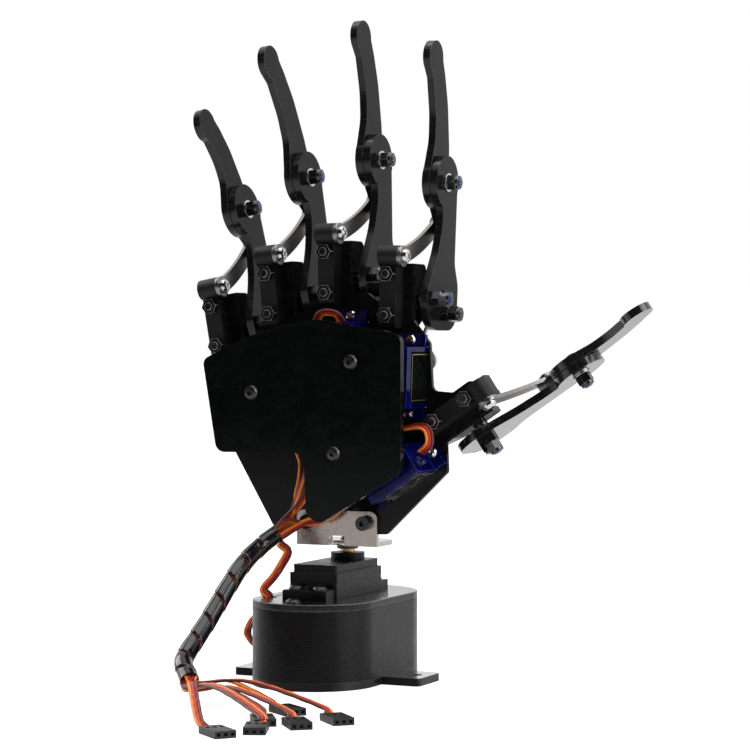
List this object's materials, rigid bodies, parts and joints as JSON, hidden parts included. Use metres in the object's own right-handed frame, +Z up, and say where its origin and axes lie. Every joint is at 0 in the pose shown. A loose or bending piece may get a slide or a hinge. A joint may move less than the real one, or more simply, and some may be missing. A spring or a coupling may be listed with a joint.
{
  "type": "robot hand",
  "caption": "Dexterous robot hand: linkage fingers with small servos on a folded palm plate, turning on a servo foot.",
  "frame": {"origin": "midway between the two foot holes, on the underside of the foot plate", "axes": "+Z up along the wrist's turning axis, -Y the way the palm faces, +X towards the thumb"},
  "size_m": [0.1821, 0.1898, 0.2537],
  "materials": {
    "foot_black": "satin, fine print lines",
    "servo_black": "fine moulded texture",
    "black_screw": "black oxide, semi-gloss",
    "brass": "turned",
    "bright_metal": "machined",
    "brushed_sheet": "brushed",
    "black_sheet": "satin black coat",
    "black_acrylic": "gloss, sawn edges",
    "moulded_black": "fine moulded texture",
    "chrome": "polished",
    "servo_blue": "clear blue tint",
    "horn_white": "moulded",
    "wrap_black": "gloss",
    "lead_colours": "soft sleeve",
    "plug_black": "moulded"
  },
  "bodies": {
    "foot": {"foot_plate": "foot_black", "foot_housing": "foot_black", "foot_lid": "foot_black", "foot_screws": "black_screw", "pan_servo": "servo_black", "pan_servo_screws": "black_screw", "pan_lead": "lead_colours"},
    "hand": {"pan_spline": "brass", "pan_horn": "bright_metal", "wrist_bracket": "brushed_sheet", "wrist_screws": "black_screw", "palm_plate": "black_sheet", "palm_cover": "black_acrylic", "cover_standoffs": "brass", "cover_screws": "black_screw", "link_brackets": "moulded_black", "bracket_bolts": "black_screw", "root_bolts": "black_screw", "link_root_screws": "chrome", "servo_screws": "chrome", "servo_index": "servo_blue", "servo_middle": "servo_blue", "servo_ring": "servo_blue", "servo_little": "servo_blue", "servo_thumb": "servo_blue", "lead_wrap": "wrap_black", "palm_leads": "lead_colours", "lead_tails": "lead_colours", "lead_plugs": "plug_black"},
    "index_first": {"proximal_index": "black_acrylic", "bolts_index": "black_screw"},
    "index_last": {"distal_index": "black_acrylic"},
    "index_link": {"link_index": "brushed_sheet"},
    "index_horn": {"horn_index": "horn_white"},
    "index_rod": {"rod_index": "chrome"},
    "middle_first": {"proximal_middle": "black_acrylic", "bolts_middle": "black_screw"},
    "middle_last": {"distal_middle": "black_acrylic"},
    "middle_link": {"link_middle": "brushed_sheet"},
    "middle_horn": {"horn_middle": "horn_white"},
    "middle_rod": {"rod_middle": "chrome"},
    "ring_first": {"proximal_ring": "black_acrylic", "bolts_ring": "black_screw"},
    "ring_last": {"distal_ring": "black_acrylic"},
    "ring_link": {"link_ring": "brushed_sheet"},
    "ring_horn": {"horn_ring": "horn_white"},
    "ring_rod": {"rod_ring": "chrome"},
    "little_first": {"proximal_little": "black_acrylic", "bolts_little": "black_screw"},
    "little_last": {"distal_little": "black_acrylic"},
    "little_link": {"link_little": "brushed_sheet"},
    "little_horn": {"horn_little": "horn_white"},
    "little_rod": {"rod_little": "chrome"},
    "thumb_first": {"proximal_thumb": "black_acrylic", "bolts_thumb": "black_screw"},
    "thumb_last": {"distal_thumb": "black_acrylic"},
    "thumb_link": {"link_thumb": "brushed_sheet"},
    "thumb_horn": {"horn_thumb": "horn_white"},
    "thumb_rod": {"rod_thumb": "chrome"}
  },
  "joints": [
    {"name": "wrist_turn", "type": "hinge", "parent": "foot", "child": "hand", "pos_m": [0, 0.01, 0.05], "axis": [0, 0, 1], "range_deg": [-90, 90], "deforming": ["pan_lead"]},
    {"name": "index_bend", "type": "hinge", "parent": "hand", "child": "index_first", "pos_m": [0.0321, 0.0069, 0.146], "axis": [0.9994, 0, -0.0349], "range_deg": [0, 60]},
    {"name": "index_curl", "type": "hinge", "parent": "index_first", "child": "index_last", "pos_m": [0.03366, 0.0184, 0.19067], "axis": [0.9994, 0, -0.0349], "range_deg": [0, 69.05]},
    {"name": "index_link_turn", "type": "hinge", "parent": "hand", "child": "index_link", "pos_m": [0.03264, -0.0053, 0.16159], "axis": [0.9994, 0, -0.0349], "range_deg": [0, 84.05]},
    {"name": "index_horn_turn", "type": "hinge", "parent": "hand", "child": "index_horn", "pos_m": [0.03126, 0.0069, 0.12201], "axis": [0, 1, 0], "range_deg": [0, 65.75]},
    {"name": "index_rod_turn", "type": "hinge", "parent": "index_horn", "child": "index_rod", "pos_m": [0.02183, 0.0069, 0.11635], "axis": [0, 1, 0], "range_deg": [-65.75, 0]},
    {"name": "middle_bend", "type": "hinge", "parent": "hand", "child": "middle_first", "pos_m": [0.0062, 0.0069, 0.1552], "axis": [0.9998, 0, 0.0175], "range_deg": [0, 60]},
    {"name": "middle_curl", "type": "hinge", "parent": "middle_first", "child": "middle_last", "pos_m": [0.00542, 0.0184, 0.19989], "axis": [0.9998, 0, 0.0175], "range_deg": [0, 69.05]},
    {"name": "middle_link_turn", "type": "hinge", "parent": "hand", "child": "middle_link", "pos_m": [0.00593, -0.0053, 0.1708], "axis": [0.9998, 0, 0.0175], "range_deg": [0, 84.05]},
    {"name": "middle_horn_turn", "type": "hinge", "parent": "hand", "child": "middle_horn", "pos_m": [0.00662, 0.0069, 0.1312], "axis": [0, 1, 0], "range_deg": [0, 65.75]},
    {"name": "middle_rod_turn", "type": "hinge", "parent": "middle_horn", "child": "middle_rod", "pos_m": [-0.0025, 0.0069, 0.12505], "axis": [0, 1, 0], "range_deg": [-65.75, 0]},
    {"name": "ring_bend", "type": "hinge", "parent": "hand", "child": "ring_first", "pos_m": [-0.0187, 0.0069, 0.1477], "axis": [0.9962, 0, 0.0872], "range_deg": [-7, 53]},
    {"name": "ring_curl", "type": "hinge", "parent": "ring_first", "child": "ring_last", "pos_m": [-0.02269, 0.01287, 0.19329], "axis": [0.9962, 0, 0.0872], "range_deg": [-8.1, 61]},
    {"name": "ring_link_turn", "type": "hinge", "parent": "hand", "child": "ring_link", "pos_m": [-0.02006, -0.0053, 0.16324], "axis": [0.9962, 0, 0.0872], "range_deg": [-9.85, 74.25]},
    {"name": "ring_horn_turn", "type": "hinge", "parent": "hand", "child": "ring_horn", "pos_m": [-0.01661, 0.0069, 0.12379], "axis": [0, 1, 0], "range_deg": [-7.71, 58.09]},
    {"name": "ring_rod_turn", "type": "hinge", "parent": "ring_horn", "child": "ring_rod", "pos_m": [-0.0261, 0.0069, 0.11824], "axis": [0, 1, 0], "range_deg": [-58.09, 7.71]},
    {"name": "little_bend", "type": "hinge", "parent": "hand", "child": "little_first", "pos_m": [-0.0425, 0.0069, 0.1359], "axis": [0.9848, 0, 0.1736], "range_deg": [-7, 53]},
    {"name": "little_curl", "type": "hinge", "parent": "little_first", "child": "little_last", "pos_m": [-0.05045, 0.01287, 0.18097], "axis": [0.9848, 0, 0.1736], "range_deg": [-8.1, 61]},
    {"name": "little_link_turn", "type": "hinge", "parent": "hand", "child": "little_link", "pos_m": [-0.04521, -0.0053, 0.15126], "axis": [0.9848, 0, 0.1736], "range_deg": [-9.85, 74.25]},
    {"name": "little_horn_turn", "type": "hinge", "parent": "hand", "child": "little_horn", "pos_m": [-0.03833, 0.0069, 0.11226], "axis": [0, 1, 0], "range_deg": [-7.71, 58.09]},
    {"name": "little_rod_turn", "type": "hinge", "parent": "little_horn", "child": "little_rod", "pos_m": [-0.04731, 0.0069, 0.1059], "axis": [0, 1, 0], "range_deg": [-58.09, 7.71]},
    {"name": "thumb_bend", "type": "hinge", "parent": "hand", "child": "thumb_first", "pos_m": [0.05708, 0.0069, 0.09885], "axis": [0.5592, 0, -0.829], "range_deg": [0, 60]},
    {"name": "thumb_curl", "type": "hinge", "parent": "thumb_first", "child": "thumb_last", "pos_m": [0.09066, 0.0184, 0.1215], "axis": [0.5592, 0, -0.829], "range_deg": [0, 69.05]},
    {"name": "thumb_link_turn", "type": "hinge", "parent": "hand", "child": "thumb_link", "pos_m": [0.06653, -0.0053, 0.10522], "axis": [0.5592, 0, -0.829], "range_deg": [0, 84.05]},
    {"name": "thumb_horn_turn", "type": "hinge", "parent": "hand", "child": "thumb_horn", "pos_m": [0.0337, 0.0069, 0.08308], "axis": [0, 1, 0], "range_deg": [0, 65.75]},
    {"name": "thumb_rod_turn", "type": "hinge", "parent": "thumb_horn", "child": "thumb_rod", "pos_m": [0.02358, 0.0069, 0.08738], "axis": [0, 1, 0], "range_deg": [-65.75, 0]}
  ],
  "couplings": [
    {"joint": "index_curl", "follows": "index_bend", "ratio": 1.15},
    {"joint": "index_link_turn", "follows": "index_bend", "ratio": 1.4},
    {"joint": "index_horn_turn", "follows": "index_bend", "ratio": 1.095},
    {"joint": "index_rod_turn", "follows": "index_bend", "ratio": -1.095},
    {"joint": "middle_curl", "follows": "middle_bend", "ratio": 1.15},
    {"joint": "middle_link_turn", "follows": "middle_bend", "ratio": 1.4},
    {"joint": "middle_horn_turn", "follows": "middle_bend", "ratio": 1.095},
    {"joint": "middle_rod_turn", "follows": "middle_bend", "ratio": -1.095},
    {"joint": "ring_curl", "follows": "ring_bend", "ratio": 1.15},
    {"joint": "ring_link_turn", "follows": "ring_bend", "ratio": 1.4},
    {"joint": "ring_horn_turn", "follows": "ring_bend", "ratio": 1.095},
    {"joint": "ring_rod_turn", "follows": "ring_bend", "ratio": -1.095},
    {"joint": "little_curl", "follows": "little_bend", "ratio": 1.15},
    {"joint": "little_link_turn", "follows": "little_bend", "ratio": 1.4},
    {"joint": "little_horn_turn", "follows": "little_bend", "ratio": 1.095},
    {"joint": "little_rod_turn", "follows": "little_bend", "ratio": -1.095},
    {"joint": "thumb_curl", "follows": "thumb_bend", "ratio": 1.15},
    {"joint": "thumb_link_turn", "follows": "thumb_bend", "ratio": 1.4},
    {"joint": "thumb_horn_turn", "follows": "thumb_bend", "ratio": 1.095},
    {"joint": "thumb_rod_turn", "follows": "thumb_bend", "ratio": -1.095}
  ]
}
